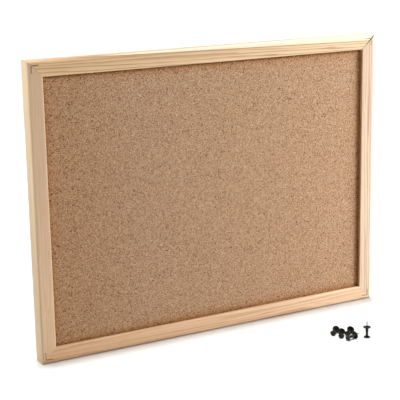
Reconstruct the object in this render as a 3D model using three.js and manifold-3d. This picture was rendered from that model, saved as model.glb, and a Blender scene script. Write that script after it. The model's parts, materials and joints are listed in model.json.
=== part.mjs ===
// Framed cork pin board with its push pins.
// Millimetres, +Z up. The origin is the middle of the board's bottom edge, halfway through its depth.
// The cork faces -Y.
import * as THREE from "three";
import { mergeVertices } from "three/addons/utils/BufferGeometryUtils.js";
import Module from "manifold-3d";

// Board
const BOARD_WIDTH = 400;
const BOARD_HEIGHT = 300;

// Frame moulding: a square bar with a groove for the panel, eased edges and mitred ends
const RAIL_FACE = 15.5;
const RAIL_DEPTH = 16;
const OUTER_ROUND = 2;
const SIGHT_ROUND = 1;
const BACK_ROUND = 1;
const FRONT_LIP = 3.4;
const GROOVE_DEPTH = 5;
const MITRE_GAP = 0.4;

// Panel: cork glued on hardboard, held in the groove
const CORK_THICKNESS = 3;
const BACKING_THICKNESS = 3;
const GLUE_LINE = 0.2;
const PANEL_PLAY = 0.3;
const PANEL_EDGE_PLAY = 0.5;

// V-nails: bent strips driven across the mitres from the front
const NAIL_INSET = 4.2;
const NAIL_LEG = 6;
const NAIL_CURL = 1.3;
const NAIL_CURL_SWEEP = Math.PI / 3;
const NAIL_THICKNESS = 0.6;
const NAIL_LENGTH = 8;
const NAIL_SINK = 0.4;
const NAIL_PLAY = 0.3;

// Hangers: a strip folded round the straight side of a D ring, screwed to the back of the top rail
const HANGER_SPACING = 240;
const HANGER_FROM_SIGHT_EDGE = 3.6;
const HANGER_FROM_TOP_EDGE = 1.6;
const HANGER_SEAT_GAP = 0.2;
const STRAP_WIDTH = 9;
const STRAP_SHEET = 0.9;
const STRAP_CORNER = 3;
const WIRE_DIAMETER = 2.2;
const WIRE_PLAY = 0.3;
const RING_SIDE = 4.4;
const RING_CORNER = 1.7;
const RING_SIDE_PLAY = 0.3;
const RING_SEAM = 0.4;

// Hanger screws: pan head with a cross recess
const SCREW_DIAMETER = 2.8;
const SCREW_LENGTH = 10;
const SCREW_POINT = 3;
const SCREW_HEAD_DIAMETER = 5.8;
const SCREW_HEAD_EDGE = 0.8;
const SCREW_HEAD_DOME = 1;
const SCREW_SEAT_GAP = 0.2;
const SCREW_PLAY = 0.3;
const RECESS_LENGTH = 3;
const RECESS_WIDTH = 0.8;
const RECESS_DEPTH = 1;

// Push pins: a spool-shaped grip with a needle set in its flange end
const GRIP_LENGTH = 11.5;
const CAP_DIAMETER = 6;
const CAP_THICKNESS = 1;
const CAP_EDGE = 0.3;
const NECK_LENGTH = 1.2;
const SHANK_CAP_DIAMETER = 2.6;
const SHANK_FLANGE_DIAMETER = 3.2;
const FLARE_LENGTH = 1;
const FLANGE_DIAMETER = 7.8;
const FLANGE_THICKNESS = 1;
const FLANGE_EDGE = 0.3;
const HUB_DIAMETER = 2.4;
const HUB_HEIGHT = 0.7;
const NEEDLE_DIAMETER = 1.1;
const NEEDLE_REACH = 5.8;
const NEEDLE_POINT = 2.2;
const NEEDLE_SEAT = 6;
const NEEDLE_PLAY = 0.2;

// Where the pins are, in front of the board: one stands on its cap, the others lie loosely together
const STANDING_PIN_X = 119;
const STANDING_PIN_Y = -111;
const HEAP_X = 97;
const HEAP_Y = -100;
const HEAP_TURN = THREE.MathUtils.degToRad(-28.5);
const LANE_GAP = 1;
const LYING_PINS = [
  { lanes: -1.15, start: 5.5, heading: 66 },
  { lanes: -0.27, start: -3, heading: 83 },
  { lanes: 0.35, start: -9.5, heading: 38 },
  { lanes: 0.53, start: 3.5, heading: 65 },
];

// Facets
const ROUND_SEGMENTS = 4;
const PIN_SEGMENTS = 28;
const PIN_CURVE_STEPS = 3;
const NEEDLE_SEGMENTS = 10;
const SCREW_SEGMENTS = 18;
const WIRE_SEGMENTS = 5;
const WIRE_STEPS = 40;
const NAIL_CURL_STEPS = 3;
const WELD = 1e-4;
const CUT_MARGIN = 1;

// Worked out from the sizes above
const FRONT_Y = -RAIL_DEPTH / 2;
const BACK_Y = RAIL_DEPTH / 2;
const GROOVE_WIDTH = CORK_THICKNESS + GLUE_LINE + BACKING_THICKNESS + 2 * PANEL_PLAY;
const PANEL_INSET = RAIL_FACE - GROOVE_DEPTH + PANEL_EDGE_PLAY;
const WIRE_RADIUS = WIRE_DIAMETER / 2;
const LOOP_BORE = WIRE_RADIUS + WIRE_PLAY;
const LOOP_RADIUS = LOOP_BORE + STRAP_SHEET;
const STRAP_BACK = 2 * STRAP_SHEET - LOOP_RADIUS;
const STRAP_RISE = RAIL_FACE - HANGER_FROM_SIGHT_EDGE - HANGER_FROM_TOP_EDGE;
const SCREW_RISE = (STRAP_RISE + LOOP_RADIUS) / 2;
const RING_HALF = STRAP_WIDTH / 2 + RING_SIDE_PLAY + RING_CORNER;
const HANGER_Z = BOARD_HEIGHT - RAIL_FACE + HANGER_FROM_SIGHT_EDGE;
const HANGER_Y = BACK_Y + HANGER_SEAT_GAP + LOOP_RADIUS;
const CAP_RADIUS = CAP_DIAMETER / 2;
const SHANK_CAP_RADIUS = SHANK_CAP_DIAMETER / 2;
const SHANK_FLANGE_RADIUS = SHANK_FLANGE_DIAMETER / 2;
const FLANGE_RADIUS = FLANGE_DIAMETER / 2;
const FLANGE_START = GRIP_LENGTH - FLANGE_THICKNESS;
const NEEDLE_RADIUS = NEEDLE_DIAMETER / 2;
const NEEDLE_TIP = GRIP_LENGTH + HUB_HEIGHT + NEEDLE_REACH;

const wasm = await Module();
wasm.setup();

const pine = new THREE.MeshStandardMaterial({ color: 0xdcb88a, roughness: 0.6, metalness: 0 });
const cork = new THREE.MeshStandardMaterial({ color: 0xb08860, roughness: 0.95, metalness: 0 });
const hardboard = new THREE.MeshStandardMaterial({ color: 0x6b4a30, roughness: 0.85, metalness: 0 });
const darkSteel = new THREE.MeshStandardMaterial({ color: 0x5c554c, roughness: 0.5, metalness: 1 });
const zincSteel = new THREE.MeshStandardMaterial({ color: 0xb9bcbf, roughness: 0.35, metalness: 1 });
const blackPlastic = new THREE.MeshStandardMaterial({ color: 0x141412, roughness: 0.25, metalness: 0 });
const needleSteel = new THREE.MeshStandardMaterial({ color: 0xc9cacb, roughness: 0.2, metalness: 1 });

function toSolid(geometry) {
  const bare = geometry.clone();
  bare.deleteAttribute("normal");
  bare.deleteAttribute("uv");
  const merged = mergeVertices(bare, WELD);
  const vertProperties = merged.getAttribute("position").array;
  const triVerts = new Uint32Array(merged.index.array);
  return new wasm.Manifold(new wasm.Mesh({ numProp: 3, vertProperties, triVerts }));
}

function toGeometry(solid) {
  const mesh = solid.getMesh();
  const indexed = new THREE.BufferGeometry();
  indexed.setAttribute("position", new THREE.BufferAttribute(mesh.vertProperties, 3));
  indexed.setIndex(new THREE.BufferAttribute(mesh.triVerts, 1));
  const faceted = indexed.toNonIndexed();
  faceted.computeVertexNormals();
  return faceted;
}

function cut(geometry, tools) {
  return toGeometry(tools.reduce((body, tool) => body.subtract(toSolid(tool)), toSolid(geometry)));
}

function named(name, geometry, material) {
  const mesh = new THREE.Mesh(geometry, material);
  mesh.name = name;
  return mesh;
}

// A shape drawn with x across and y up, made into a plate that runs from y = front back by depth.
function upright(shape, front, depth) {
  const geometry = new THREE.ExtrudeGeometry(shape, { depth, bevelEnabled: false });
  geometry.rotateX(Math.PI / 2);
  geometry.translate(0, front + depth, 0);
  return geometry;
}

// A profile of radius and height turned round the Z axis.
function turned(profile, segments) {
  const geometry = new THREE.LatheGeometry(profile, segments);
  geometry.rotateX(Math.PI / 2);
  return geometry;
}

// Moulding section: x runs across the face from the outer edge, y through the depth from the front.
function mouldingSection() {
  const groove = RAIL_FACE - GROOVE_DEPTH;
  const shape = new THREE.Shape();
  shape.moveTo(OUTER_ROUND, 0);
  shape.lineTo(RAIL_FACE - SIGHT_ROUND, 0);
  shape.absarc(RAIL_FACE - SIGHT_ROUND, SIGHT_ROUND, SIGHT_ROUND, -Math.PI / 2, 0);
  shape.lineTo(RAIL_FACE, FRONT_LIP);
  shape.lineTo(groove, FRONT_LIP);
  shape.lineTo(groove, FRONT_LIP + GROOVE_WIDTH);
  shape.lineTo(RAIL_FACE, FRONT_LIP + GROOVE_WIDTH);
  shape.lineTo(RAIL_FACE, RAIL_DEPTH - BACK_ROUND);
  shape.absarc(RAIL_FACE - BACK_ROUND, RAIL_DEPTH - BACK_ROUND, BACK_ROUND, 0, Math.PI / 2);
  shape.lineTo(BACK_ROUND, RAIL_DEPTH);
  shape.absarc(BACK_ROUND, RAIL_DEPTH - BACK_ROUND, BACK_ROUND, Math.PI / 2, Math.PI);
  shape.lineTo(0, OUTER_ROUND);
  shape.absarc(OUTER_ROUND, OUTER_ROUND, OUTER_ROUND, Math.PI, 1.5 * Math.PI);
  return shape;
}

// A bar along X with its outer edge at z = 0. Each end is mitred, so it draws in as it nears the cork.
function mitredBar(length) {
  const options = { depth: 1, bevelEnabled: false, curveSegments: ROUND_SEGMENTS };
  const geometry = new THREE.ExtrudeGeometry(mouldingSection(), options);
  const place = geometry.getAttribute("position");
  for (let i = 0; i < place.count; i += 1) {
    const across = place.getX(i);
    const half = length / 2 - across - MITRE_GAP * Math.SQRT1_2;
    const end = 1 - 2 * place.getZ(i);
    place.setXYZ(i, end * half, FRONT_Y + place.getY(i), across);
  }
  return geometry;
}

// Centre line of a V-nail seen from the front, in a corner whose two outer edges are the axes.
// Both legs run inwards from the bend and curl towards the outer edge at the tip.
function nailLine() {
  const leg = [];
  for (let i = NAIL_CURL_STEPS; i >= 0; i -= 1) {
    const sweep = (NAIL_CURL_SWEEP * i) / NAIL_CURL_STEPS;
    const along = NAIL_INSET + NAIL_LEG + NAIL_CURL * Math.sin(sweep);
    const across = NAIL_INSET - NAIL_CURL * (1 - Math.cos(sweep));
    leg.push(new THREE.Vector2(along, across));
  }
  const bend = new THREE.Vector2(NAIL_INSET, NAIL_INSET);
  const mirrored = leg.map((point) => new THREE.Vector2(point.y, point.x));
  return [...leg, bend, ...mirrored.reverse()];
}

// Outline of a strip of even width along a line, lengthened by extra at both ends.
function stripShape(line, width, extra) {
  const points = line.map((point) => point.clone());
  const last = points.length - 1;
  points[0].addScaledVector(line[0].clone().sub(line[1]).normalize(), extra);
  points[last].addScaledVector(line[last].clone().sub(line[last - 1]).normalize(), extra);
  const near = [];
  const far = [];
  points.forEach((point, i) => {
    const before = points[Math.max(i, 1)].clone().sub(points[Math.max(i, 1) - 1]).normalize();
    const after = points[Math.min(i, last - 1) + 1].clone().sub(points[Math.min(i, last - 1)]).normalize();
    const along = before.clone().add(after).normalize();
    const normal = new THREE.Vector2(-along.y, along.x);
    const reach = width / 2 / along.dot(after);
    near.push(point.clone().addScaledVector(normal, reach));
    far.push(point.clone().addScaledVector(normal, -reach));
  });
  return new THREE.Shape([...near, ...far.reverse()]);
}

function cornerNail() {
  return upright(stripShape(nailLine(), NAIL_THICKNESS, 0), FRONT_Y + NAIL_SINK, NAIL_LENGTH);
}

function nailSlot() {
  const shape = stripShape(nailLine(), NAIL_THICKNESS + 2 * NAIL_PLAY, NAIL_PLAY);
  return upright(shape, FRONT_Y - CUT_MARGIN, CUT_MARGIN + NAIL_SINK + NAIL_LENGTH + NAIL_PLAY);
}

// The slots for the V-nails at a bar's two ends. The nail is the same on both sides of the mitre.
function slotsForBar(length) {
  const left = nailSlot().translate(-length / 2, 0, 0);
  const right = nailSlot().rotateY(-Math.PI / 2).translate(length / 2, 0, 0);
  return [left, right];
}

function screwHole(x, z) {
  const depth = SCREW_LENGTH - 2 * STRAP_SHEET + SCREW_PLAY;
  const hole = new THREE.CylinderGeometry(
    SCREW_DIAMETER / 2 + SCREW_PLAY,
    SCREW_DIAMETER / 2 + SCREW_PLAY,
    depth + CUT_MARGIN,
    SCREW_SEGMENTS,
  );
  hole.translate(x, BACK_Y + (CUT_MARGIN - depth) / 2, z);
  return hole;
}

function buildFrame() {
  const frame = new THREE.Group();
  const screwZ = BOARD_HEIGHT - HANGER_Z - SCREW_RISE;
  const screwHoles = [-1, 1].map((side) => screwHole((side * HANGER_SPACING) / 2, screwZ));
  const bars = [
    { name: "bottom_rail", length: BOARD_WIDTH, x: 0, z: 0, turn: 0, holes: [] },
    { name: "right_stile", length: BOARD_HEIGHT, x: BOARD_WIDTH / 2, z: BOARD_HEIGHT / 2, turn: -90, holes: [] },
    { name: "top_rail", length: BOARD_WIDTH, x: 0, z: BOARD_HEIGHT, turn: 180, holes: screwHoles },
    { name: "left_stile", length: BOARD_HEIGHT, x: -BOARD_WIDTH / 2, z: BOARD_HEIGHT / 2, turn: 90, holes: [] },
  ];
  for (const bar of bars) {
    const geometry = cut(mitredBar(bar.length), [...slotsForBar(bar.length), ...bar.holes]);
    const mesh = named(bar.name, geometry, pine);
    mesh.position.set(bar.x, 0, bar.z);
    mesh.rotation.y = THREE.MathUtils.degToRad(bar.turn);
    frame.add(mesh);
  }
  const corners = [
    { name: "corner_nail_bottom_left", x: -BOARD_WIDTH / 2, z: 0, turn: 0 },
    { name: "corner_nail_bottom_right", x: BOARD_WIDTH / 2, z: 0, turn: -90 },
    { name: "corner_nail_top_right", x: BOARD_WIDTH / 2, z: BOARD_HEIGHT, turn: 180 },
    { name: "corner_nail_top_left", x: -BOARD_WIDTH / 2, z: BOARD_HEIGHT, turn: 90 },
  ];
  for (const corner of corners) {
    const mesh = named(corner.name, cornerNail(), darkSteel);
    mesh.position.set(corner.x, 0, corner.z);
    mesh.rotation.y = THREE.MathUtils.degToRad(corner.turn);
    frame.add(mesh);
  }
  return frame;
}

function buildPanel() {
  const panel = new THREE.Group();
  const width = BOARD_WIDTH - 2 * PANEL_INSET;
  const height = BOARD_HEIGHT - 2 * PANEL_INSET;
  const corkFront = FRONT_Y + FRONT_LIP + PANEL_PLAY;
  const backingFront = corkFront + CORK_THICKNESS + GLUE_LINE;
  const sheet = named("cork_sheet", new THREE.BoxGeometry(width, CORK_THICKNESS, height), cork);
  sheet.position.set(0, corkFront + CORK_THICKNESS / 2, BOARD_HEIGHT / 2);
  const backing = named("backing_board", new THREE.BoxGeometry(width, BACKING_THICKNESS, height), hardboard);
  backing.position.set(0, backingFront + BACKING_THICKNESS / 2, BOARD_HEIGHT / 2);
  panel.add(sheet, backing);
  return panel;
}

// Side view of the folded strap: both layers of the strip lie flat together above the loop.
// x runs back from the ring's axis, y up.
function strapSection() {
  const meet = Math.PI - Math.acos(-STRAP_BACK / LOOP_RADIUS);
  const shape = new THREE.Shape();
  shape.moveTo(-LOOP_RADIUS, STRAP_RISE);
  shape.lineTo(-LOOP_RADIUS, 0);
  shape.absarc(0, 0, LOOP_RADIUS, -Math.PI, meet);
  shape.lineTo(STRAP_BACK, STRAP_RISE);
  const bore = new THREE.Path();
  bore.absarc(0, 0, LOOP_BORE, 0, 2 * Math.PI);
  shape.holes.push(bore);
  return shape;
}

// Rear view of the strap, with rounded upper corners.
function strapOutline() {
  const half = STRAP_WIDTH / 2;
  const bottom = -LOOP_RADIUS - CUT_MARGIN;
  const shape = new THREE.Shape();
  shape.moveTo(-half, bottom);
  shape.lineTo(half, bottom);
  shape.lineTo(half, STRAP_RISE - STRAP_CORNER);
  shape.absarc(half - STRAP_CORNER, STRAP_RISE - STRAP_CORNER, STRAP_CORNER, 0, Math.PI / 2);
  shape.absarc(STRAP_CORNER - half, STRAP_RISE - STRAP_CORNER, STRAP_CORNER, Math.PI / 2, Math.PI);
  return shape;
}

function hangerStrap() {
  const wide = STRAP_WIDTH + 2 * CUT_MARGIN;
  const options = { depth: wide, bevelEnabled: false, curveSegments: 2 * ROUND_SEGMENTS };
  const folded = new THREE.ExtrudeGeometry(strapSection(), options);
  folded.rotateX(Math.PI / 2);
  folded.rotateZ(Math.PI / 2);
  folded.translate(-wide / 2, 0, 0);
  const outline = upright(strapOutline(), -LOOP_RADIUS - CUT_MARGIN, 2 * (LOOP_RADIUS + CUT_MARGIN));
  const bore = SCREW_DIAMETER / 2 + SCREW_PLAY;
  const hole = new THREE.CylinderGeometry(bore, bore, 4 * LOOP_RADIUS, SCREW_SEGMENTS);
  hole.translate(0, 0, SCREW_RISE);
  return toGeometry(toSolid(folded).intersect(toSolid(outline)).subtract(toSolid(hole)));
}

// A flat path stood upright in the XZ plane.
class UprightCurve extends THREE.Curve {
  constructor(path) {
    super();
    this.path = path;
  }

  getPoint(t, target = new THREE.Vector3()) {
    const point = this.path.getPoint(t);
    return target.set(point.x, 0, point.y);
  }
}

// The D ring is one bent wire whose ends meet in the straight side, inside the strap's loop.
function hangerRing() {
  const straight = RING_HALF - RING_CORNER;
  const path = new THREE.Path();
  path.moveTo(RING_SEAM / 2, 0);
  path.lineTo(straight, 0);
  path.absarc(straight, -RING_CORNER, RING_CORNER, Math.PI / 2, 0, true);
  path.lineTo(RING_HALF, -RING_SIDE);
  path.absarc(0, -RING_SIDE, RING_HALF, 0, -Math.PI, true);
  path.lineTo(-RING_HALF, -RING_CORNER);
  path.absarc(-straight, -RING_CORNER, RING_CORNER, Math.PI, Math.PI / 2, true);
  path.lineTo(-RING_SEAM / 2, 0);
  const section = new THREE.Shape();
  section.absarc(0, 0, WIRE_RADIUS, 0, 2 * Math.PI);
  return new THREE.ExtrudeGeometry(section, {
    steps: WIRE_STEPS,
    curveSegments: WIRE_SEGMENTS,
    extrudePath: new UprightCurve(path),
  });
}

// The screw points along -Z with the underside of its head at z = 0.
function hangerScrew() {
  const radius = SCREW_DIAMETER / 2;
  const head = SCREW_HEAD_DIAMETER / 2;
  const top = SCREW_HEAD_EDGE + SCREW_HEAD_DOME;
  const profile = new THREE.Path();
  profile.moveTo(0, -SCREW_LENGTH);
  profile.lineTo(radius, SCREW_POINT - SCREW_LENGTH);
  profile.lineTo(radius, 0);
  profile.lineTo(head, 0);
  profile.lineTo(head, SCREW_HEAD_EDGE);
  profile.quadraticCurveTo(head, top, 0, top);
  const body = turned(profile.getPoints(PIN_CURVE_STEPS), SCREW_SEGMENTS);
  const slots = [0, Math.PI / 2].map((turn) => {
    const slot = new THREE.BoxGeometry(RECESS_LENGTH, RECESS_WIDTH, 2 * RECESS_DEPTH);
    return slot.rotateZ(turn).translate(0, 0, top);
  });
  return cut(body, slots);
}

// One hanger, with its origin on the axis that the ring swings on.
function buildHanger(side) {
  const hanger = new THREE.Group();
  const screw = named("hanger_screw_" + side, hangerScrew(), zincSteel);
  screw.rotation.x = -Math.PI / 2;
  screw.position.set(0, STRAP_BACK + SCREW_SEAT_GAP, SCREW_RISE);
  hanger.add(named("hanger_strap_" + side, hangerStrap(), zincSteel));
  hanger.add(named("hanger_ring_" + side, hangerRing(), zincSteel));
  hanger.add(screw);
  return hanger;
}

// Profile of a pin's grip, from the middle of its cap to the bottom of the needle's seat.
function gripProfile() {
  const bore = NEEDLE_RADIUS + NEEDLE_PLAY;
  const top = GRIP_LENGTH + HUB_HEIGHT;
  const profile = new THREE.Path();
  profile.moveTo(0, 0);
  profile.lineTo(CAP_RADIUS - CAP_EDGE, 0);
  profile.quadraticCurveTo(CAP_RADIUS, 0, CAP_RADIUS, CAP_EDGE);
  profile.lineTo(CAP_RADIUS, CAP_THICKNESS - CAP_EDGE);
  profile.quadraticCurveTo(CAP_RADIUS, CAP_THICKNESS, CAP_RADIUS - CAP_EDGE, CAP_THICKNESS);
  profile.quadraticCurveTo(SHANK_CAP_RADIUS, CAP_THICKNESS, SHANK_CAP_RADIUS, CAP_THICKNESS + NECK_LENGTH);
  profile.lineTo(SHANK_FLANGE_RADIUS, FLANGE_START - FLARE_LENGTH);
  profile.quadraticCurveTo(SHANK_FLANGE_RADIUS, FLANGE_START, FLANGE_RADIUS - FLANGE_EDGE, FLANGE_START);
  profile.quadraticCurveTo(FLANGE_RADIUS, FLANGE_START, FLANGE_RADIUS, FLANGE_START + FLANGE_EDGE);
  profile.lineTo(FLANGE_RADIUS, GRIP_LENGTH - FLANGE_EDGE);
  profile.quadraticCurveTo(FLANGE_RADIUS, GRIP_LENGTH, FLANGE_RADIUS - FLANGE_EDGE, GRIP_LENGTH);
  profile.lineTo(HUB_DIAMETER / 2, GRIP_LENGTH);
  profile.quadraticCurveTo(HUB_DIAMETER / 2, top, bore, top);
  profile.lineTo(bore, GRIP_LENGTH - NEEDLE_SEAT);
  profile.lineTo(0, GRIP_LENGTH - NEEDLE_SEAT);
  return profile.getPoints(PIN_CURVE_STEPS);
}

function needleProfile() {
  const root = GRIP_LENGTH - NEEDLE_SEAT + NEEDLE_PLAY;
  const profile = new THREE.Path();
  profile.moveTo(0, root);
  profile.lineTo(NEEDLE_RADIUS, root);
  profile.lineTo(NEEDLE_RADIUS, NEEDLE_TIP - NEEDLE_POINT);
  profile.lineTo(0, NEEDLE_TIP);
  return profile.getPoints();
}

// Height of the cap's middle above the surface for a pin that touches it and points up by pitch.
function restHeight(pitch) {
  const touching = [...gripProfile(), ...needleProfile()];
  return Math.max(...touching.map((point) => point.x * Math.cos(pitch) - point.y * Math.sin(pitch)));
}

// A lying pin rests on the rims of its cap and its flange.
function lyingPitch() {
  return Math.atan2(FLANGE_RADIUS - CAP_RADIUS, FLANGE_START + FLANGE_EDGE - CAP_EDGE);
}

// A pin whose cap has its middle over x, y; it points along heading and upwards by pitch.
function buildPin(number, x, y, heading, pitch) {
  const pin = new THREE.Group();
  pin.add(named(`push_pin_${number}_grip`, turned(gripProfile(), PIN_SEGMENTS), blackPlastic));
  pin.add(named(`push_pin_${number}_needle`, turned(needleProfile(), NEEDLE_SEGMENTS), needleSteel));
  pin.rotation.set(0, Math.PI / 2 - pitch, heading, "ZYX");
  pin.position.set(x, y, restHeight(pitch));
  return pin;
}

function buildPins() {
  const pins = new THREE.Group();
  const heap = new THREE.Group();
  heap.position.set(HEAP_X, HEAP_Y, 0);
  heap.rotation.z = HEAP_TURN;
  const flat = lyingPitch();
  const lane = FLANGE_DIAMETER + LANE_GAP;
  LYING_PINS.forEach((pin, i) => {
    const heading = THREE.MathUtils.degToRad(pin.heading);
    heap.add(buildPin(i + 1, pin.lanes * lane, pin.start, heading, flat));
  });
  pins.add(heap);
  pins.add(buildPin(LYING_PINS.length + 1, STANDING_PIN_X, STANDING_PIN_Y, 0, Math.PI / 2));
  return pins;
}

const board = new THREE.Group();
board.add(buildFrame(), buildPanel());
for (const [side, sign] of [["left", -1], ["right", 1]]) {
  const hanger = buildHanger(side);
  hanger.position.set((sign * HANGER_SPACING) / 2, HANGER_Y, HANGER_Z);
  board.add(hanger);
}
board.add(buildPins());

export default board;
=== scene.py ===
"""Framed cork pin board with push pins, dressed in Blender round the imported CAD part.

Metres, in the part's own frame: the origin is the middle of the bottom edge, the cork faces -Y and
+Z is up.
"""

import json
import math

import bmesh
import bpy
import numpy as np
from mathutils import Matrix, Vector, noise


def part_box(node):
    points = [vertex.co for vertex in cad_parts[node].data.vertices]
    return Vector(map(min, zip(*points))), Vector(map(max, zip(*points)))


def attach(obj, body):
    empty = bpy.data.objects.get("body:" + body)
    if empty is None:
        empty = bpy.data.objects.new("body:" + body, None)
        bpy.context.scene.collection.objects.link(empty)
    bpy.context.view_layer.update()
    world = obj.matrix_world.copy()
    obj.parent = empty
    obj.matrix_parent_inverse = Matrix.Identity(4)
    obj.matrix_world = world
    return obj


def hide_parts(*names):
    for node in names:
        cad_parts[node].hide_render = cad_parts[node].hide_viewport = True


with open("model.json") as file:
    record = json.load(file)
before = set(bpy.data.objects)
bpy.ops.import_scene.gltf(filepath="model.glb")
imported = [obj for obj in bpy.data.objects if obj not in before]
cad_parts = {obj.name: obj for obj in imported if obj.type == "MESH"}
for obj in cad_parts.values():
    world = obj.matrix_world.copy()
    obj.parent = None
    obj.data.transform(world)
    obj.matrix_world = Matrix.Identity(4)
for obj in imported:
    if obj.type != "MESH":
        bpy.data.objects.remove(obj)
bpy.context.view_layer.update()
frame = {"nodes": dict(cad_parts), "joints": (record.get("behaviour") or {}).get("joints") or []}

# What the lamps that light only the object, or only the floor, shine on
lit_pieces = bpy.data.collections.new("lit_pieces")
lit_floor = bpy.data.collections.new("lit_floor")

MM = 0.001
MM_PER_METRE = 1000.0

# Frame moulding
OUTER_ROUND = 2.0 * MM
SIGHT_ROUND = 1.0 * MM
BACK_ROUND = 1.0 * MM
PANEL_PLAY = 0.3 * MM
PANEL_EDGE_PLAY = 0.5 * MM
MITRE_EASE = 0.08 * MM
MITRE_CLOSE = 0.24 * MM
MITRE_OPEN = 0.85 * MM
STATION_STEP = 3.0 * MM
FACE_STEP = 1.3 * MM
RIPPLE_HEIGHT = 0.035 * MM
RIPPLE_WIDTH = 2.2 * MM
RIPPLE_LENGTH = 45.0 * MM
BOW_HEIGHT = 0.06 * MM
BOW_LENGTH = 90.0 * MM
ARRIS_REACH = 1.4 * MM
LIP_REACH = 0.4 * MM
TIGHT_MITRE_SHADE = 0.25
CUT_MARGIN = 1.0 * MM

# Each bar's grain: distance between growth rings in mm, how strongly they show, their lean and slant,
# a seed, where the sapwood begins, in mm along the line across the rings, the pale wood at the left or
# bottom end and at the other end, and the late wood; on the left stile the paler lower end is painted
# light
PINE_BARS = {
    "top_rail": dict(
        spacing=3.6, strength=1.0, lean=-0.35, slant=0.57, seed=3.0, sap=300.0,
        tint=(219, 182, 137), far_tint=(227, 196, 158), late=(156, 108, 66),
    ),
    "bottom_rail": dict(
        spacing=5.5, strength=0.8, lean=-0.3, slant=0.2, seed=11.0, sap=400.0,
        tint=(229, 184, 142), far_tint=(236, 203, 168), late=(186, 134, 86),
    ),
    "left_stile": dict(
        spacing=3.0, strength=0.6, lean=0.2, slant=-0.15, seed=19.0, sap=400.0,
        tint=(227, 191, 154), far_tint=(206, 174, 142), late=(184, 148, 112),
    ),
    "right_stile": dict(
        spacing=3.2, strength=1.0, lean=-0.25, slant=0.1, seed=27.0, sap=400.0,
        tint=(219, 194, 168), far_tint=(211, 185, 159), late=(150, 94, 60),
    ),
}
GRAIN_STRETCH = 0.03
SEED_SHIFT = (7.3, 3.1, 5.7)

# Colours as they show on screen, 0 to 255
SAP_WOOD = (246, 226, 199)
END_WOOD = (92, 62, 38)
WOOD_FLECK = (170, 122, 78)
RUBBED_ARRIS = (246, 224, 193)
# Painted warm bounce light from the cork on the uprights' sides that face it
LIP_PAINTED_BOUNCE = (255, 210, 150)
CORK_BROWNS = [
    (0.0, (58, 28, 12)),
    (0.16, (112, 70, 42)),
    (0.34, (168, 130, 98)),
    (0.68, (197, 162, 129)),
    (0.88, (224, 196, 165)),
    (1.0, (250, 230, 204)),
]
CORK_BINDER = (128, 84, 52)
CORK_SPECK = (94, 50, 22)
CORK_RIM_AND_SHADE_TINT = (242, 216, 178)
# Painted shade on the cork beside the frame, darkest under the top rail
CORK_PAINTED_SHADE = (78, 38, 12)
HARDBOARD = (122, 86, 56)
HARDBOARD_PATCH = (104, 71, 45)
HARDBOARD_PALE_FIBRE = (146, 108, 74)
HARDBOARD_DARK_FIBRE = (78, 51, 31)
HARDBOARD_SCREEN = (74, 48, 29)
PLASTIC = (5, 5, 4)
PLASTIC_SMEAR = (12, 12, 11)
PLASTIC_WORN = (44, 43, 40)
FLOOR = (245, 245, 242)
FLOOR_PATCH = (249, 249, 247)

# Each metal: its colours, its least and greatest roughness, and how many patches lie on a millimetre
STEELS = {
    "nail_steel": dict(
        bright=(72, 56, 36), dark=(40, 30, 18), stain=(56, 32, 14),
        roughness=(0.45, 0.65), mottle=0.8,
    ),
    "zinc_plate": dict(
        bright=(206, 208, 210), dark=(168, 171, 174), stain=(150, 146, 132),
        roughness=(0.24, 0.42), mottle=0.45,
    ),
    "needle_steel": dict(
        bright=(150, 151, 153), dark=(112, 113, 116), stain=(92, 90, 86),
        roughness=(0.1, 0.2), mottle=0.9,
    ),
}

# V-nails
NAIL_INSET = 4.2 * MM
NAIL_LEG = 6.0 * MM
NAIL_CURL = 1.3 * MM
NAIL_CURL_SWEEP = math.radians(60)
NAIL_BEND = 0.5 * MM
NAIL_THICKNESS = 0.5 * MM
NAIL_EDGE = 0.12 * MM
NAIL_PLAY = 0.12 * MM

# Cork granules
CORK_STEP = 1.1 * MM
GRANULE = 2.8 * MM
GRANULE_HEIGHT = 0.1 * MM
GRANULE_SEAM = 0.08 * MM
GRANULE_SEAM_SHARE = 0.3
GRANULE_LEVELS = (-1.0, 0.4)
GRANULE_SEED = 41
GRANULE_SPARE = 4
CORK_MARGIN = 6.0 * MM
# How far the painted shade beside the frame reaches onto the cork, and its share along the sides and the
# bottom
CORK_SHADE_REACH = 4.0 * MM
CORK_SIDE_SHADE = 0.35
CORK_RIM_REACH = 13.0 * MM
CORK_RIM_FALL = 1.5
# A broad band at the left is painted browner, as shade where the light falls weaker
CORK_LEFT_SHADE_REACH = 100.0 * MM
CORK_LEFT_PAINTED_SHADE = 0.4

# Hardboard
BACKING_STEP = 4.0 * MM
BACKING_WAVE = 0.08 * MM
BACKING_WAVELENGTH = 70.0 * MM
BACKING_EDGE = 0.4 * MM
BACKING_SEED = 5.0
SCREEN_PITCH_MM = 1.7

# Hangers, measured from the axis that the ring swings on
STRAP_SHEET = 0.9 * MM
STRAP_LAYER_GAP = 0.05 * MM
STRAP_CORNER = 3.0 * MM
STRAP_FOLD_ROUND = 1.2 * MM
STRAP_STEP = 0.4 * MM
WIRE_RADIUS = 1.1 * MM
WIRE_PLAY = 0.3 * MM
RING_CORNER = 1.7 * MM
RING_SEAM = 0.4 * MM
RING_STRAIGHT_STEP = 0.8 * MM
RING_SIDE_STEP = 0.6 * MM
WIRE_END_EASE = 0.25 * MM
SCREW_BORE = 1.7 * MM
SCREW_LENGTH = 10.0 * MM
SCREW_HEAD_EDGE = 0.8 * MM
SCREW_HEAD_ROUND = 0.25 * MM
SCREW_POINT = 3.0 * MM
SCREW_WORN_REACH = 0.4 * MM
SCREW_WORN = 0.6
RECESS_LENGTH = 3.2 * MM
RECESS_WIDTH = 0.75 * MM
RECESS_DEPTH = 1.1 * MM
RECESS_TAPER = 0.62

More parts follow.
